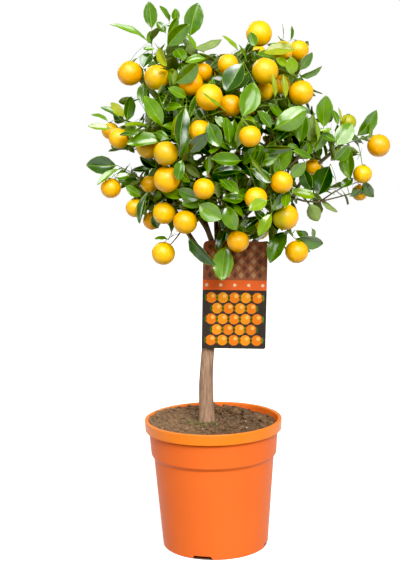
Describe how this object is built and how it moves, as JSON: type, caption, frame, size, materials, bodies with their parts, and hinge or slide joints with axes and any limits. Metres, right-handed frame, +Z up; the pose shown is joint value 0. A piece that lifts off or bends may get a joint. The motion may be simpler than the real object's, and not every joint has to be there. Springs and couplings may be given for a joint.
{
  "type": "calamondin orange tree in a pot",
  "caption": "Small standard citrus tree with a round leafy crown full of small orange fruit, on a single stem in a round plastic pot of soil, with a hang label.",
  "frame": {"origin": "middle of the pot's flat underside, on the ground", "axes": "+Z up, -Y towards the front, where the label hangs, +X to the right seen from the front"},
  "size_m": [0.4038, 0.3037, 0.741],
  "materials": {
    "pot": "satin moulded orange plastic",
    "soil": "crumbly brown potting soil",
    "bark": "dull grooved grey-brown bark",
    "foliage": "glossy green leaves, with glossy yellow-orange fruit among them",
    "label_card": "printed coated card",
    "label_tie": "thin green plastic tie"
  },
  "bodies": {
    "root": {"pot": "pot", "soil": "soil", "trunk": "bark", "bough_leader": "bark", "bough_left_upper": "bark", "bough_left": "bark", "bough_left_low": "bark", "bough_back": "bark", "bough_back_low": "bark", "bough_right": "bark", "bough_right_low": "bark", "bough_right_upper": "bark", "bough_right_front": "bark", "bough_front": "bark", "bough_front_low": "bark", "label_card": "label_card", "label_tie": "label_tie", "foliage_crest_left": "foliage", "foliage_crest_centre": "foliage", "foliage_upper_left": "foliage", "foliage_crown_top": "foliage", "foliage_crest_right": "foliage", "foliage_upper_right": "foliage", "foliage_top_front": "foliage", "foliage_front_upper": "foliage", "foliage_left_shoulder": "foliage", "foliage_left_front": "foliage", "foliage_centre_left": "foliage", "foliage_left_tip": "foliage", "foliage_left_low": "foliage", "foliage_left_mid": "foliage", "foliage_left_foot": "foliage", "foliage_front_low_left": "foliage", "foliage_front_mid": "foliage", "foliage_front_low": "foliage", "foliage_front_right": "foliage", "foliage_right_low": "foliage", "foliage_right_upper": "foliage", "foliage_right_shoulder": "foliage", "foliage_right_arm": "foliage", "foliage_right_foot": "foliage", "foliage_back_crest": "foliage", "foliage_back_top": "foliage", "foliage_back_left_upper": "foliage", "foliage_back_centre": "foliage", "foliage_back_right_upper": "foliage", "foliage_back_low": "foliage", "foliage_back_left": "foliage", "foliage_back_right": "foliage", "foliage_back_foot": "foliage"}
  },
  "joints": []
}
